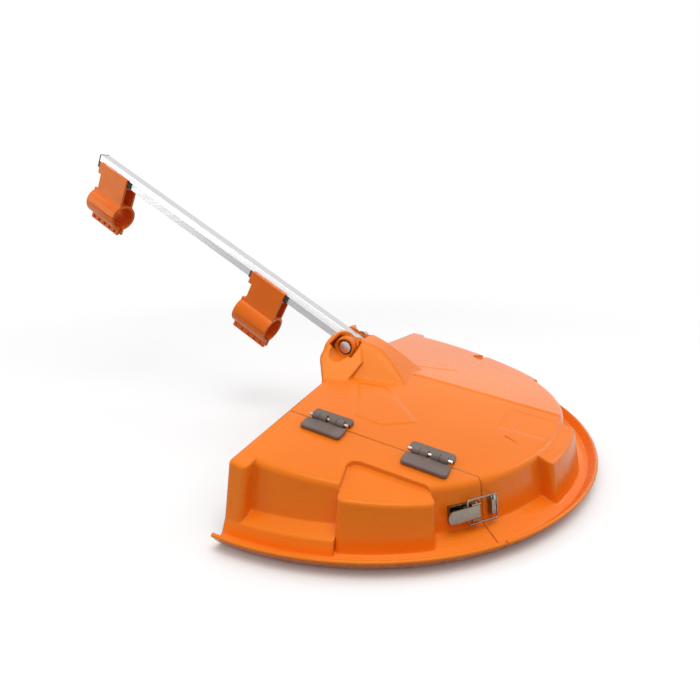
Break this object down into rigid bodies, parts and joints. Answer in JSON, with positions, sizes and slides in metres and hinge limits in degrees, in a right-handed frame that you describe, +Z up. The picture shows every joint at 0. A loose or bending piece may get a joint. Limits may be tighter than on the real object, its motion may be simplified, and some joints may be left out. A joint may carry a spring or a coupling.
{
  "type": "trimmer blade guard",
  "caption": "Half-round orange trimmer guard with hinged side flap, toggle latch and a pivoting rail with two clips for the tool's shaft.",
  "frame": {"origin": "where the cutter's axis meets the plane that the guard's rim stands on", "axes": "+X to the rounded front, +Z up along the cutter's axis, the rail rises towards -X"},
  "size_m": [0.6271, 0.4714, 0.2984],
  "materials": {
    "orange_shell": "glossy moulded orange",
    "orange_clip": "satin moulded orange",
    "hinge_plastic": "matte brown-grey",
    "black_plastic": "matte black",
    "rail_aluminium": "satin extruded",
    "latch_steel": "plated pressed sheet",
    "plated_steel": "bright zinc plate"
  },
  "bodies": {
    "guard": {"main_shell": "orange_shell", "hinge_1_fixed_leaf": "hinge_plastic", "hinge_2_fixed_leaf": "hinge_plastic", "hinge_1_pin": "plated_steel", "hinge_2_pin": "plated_steel", "hinge_rivets_fixed": "plated_steel", "pivot_bolt": "plated_steel", "pivot_washers": "plated_steel", "pivot_nut": "plated_steel", "latch_keeper": "latch_steel", "latch_keeper_rivets": "plated_steel"},
    "flap": {"flap_shell": "orange_shell", "hinge_1_flap_leaf": "hinge_plastic", "hinge_2_flap_leaf": "hinge_plastic", "hinge_rivets_flap": "plated_steel", "latch_base": "latch_steel", "latch_base_rivets": "plated_steel", "latch_lever_pin": "plated_steel"},
    "latch_lever": {"latch_lever": "latch_steel"},
    "latch_bail": {"latch_bail": "latch_steel"},
    "rail_arm": {"rail": "rail_aluminium", "rail_end_plug": "black_plastic", "rail_spacers": "black_plastic"},
    "clip_near": {"shaft_clip_near": "orange_clip", "clip_glides_near": "black_plastic"},
    "clip_far": {"shaft_clip_far": "orange_clip", "clip_glides_far": "black_plastic"}
  },
  "joints": [
    {"name": "flap_hinge", "type": "hinge", "parent": "guard", "child": "flap", "pos_m": [0.02713, -0.12946, 0.06585], "axis": [-0.9906, 0, 0.1367], "range_deg": [0, 115]},
    {"name": "latch_lever_hinge", "type": "hinge", "parent": "flap", "child": "latch_lever", "pos_m": [0.1546, -0.14283, 0.02482], "axis": [-0.1491, 0.1274, 0.9806], "range_deg": [0, 116]},
    {"name": "latch_bail_hinge", "type": "hinge", "parent": "latch_lever", "child": "latch_bail", "pos_m": [0.14973, -0.14853, 0.02482], "axis": [-0.1491, 0.1274, 0.9806], "range_deg": [-174, 0]},
    {"name": "rail_pivot", "type": "hinge", "parent": "guard", "child": "rail_arm", "pos_m": [-0.0104, 0, 0.0964], "axis": [0, 1, 0], "range_deg": [-25, 40]},
    {"name": "clip_near_slide", "type": "slide", "parent": "rail_arm", "child": "clip_near", "axis": [-0.8738, 0, 0.4863], "range_m": [-0.025, 0.09]},
    {"name": "clip_far_slide", "type": "slide", "parent": "rail_arm", "child": "clip_far", "axis": [-0.8738, 0, 0.4863], "range_m": [-0.1, 0]}
  ],
  "couplings": [
    {"joint": "latch_lever_hinge", "follows": "flap_hinge", "ratio": 1},
    {"joint": "latch_bail_hinge", "follows": "flap_hinge", "ratio": -1.5}
  ]
}
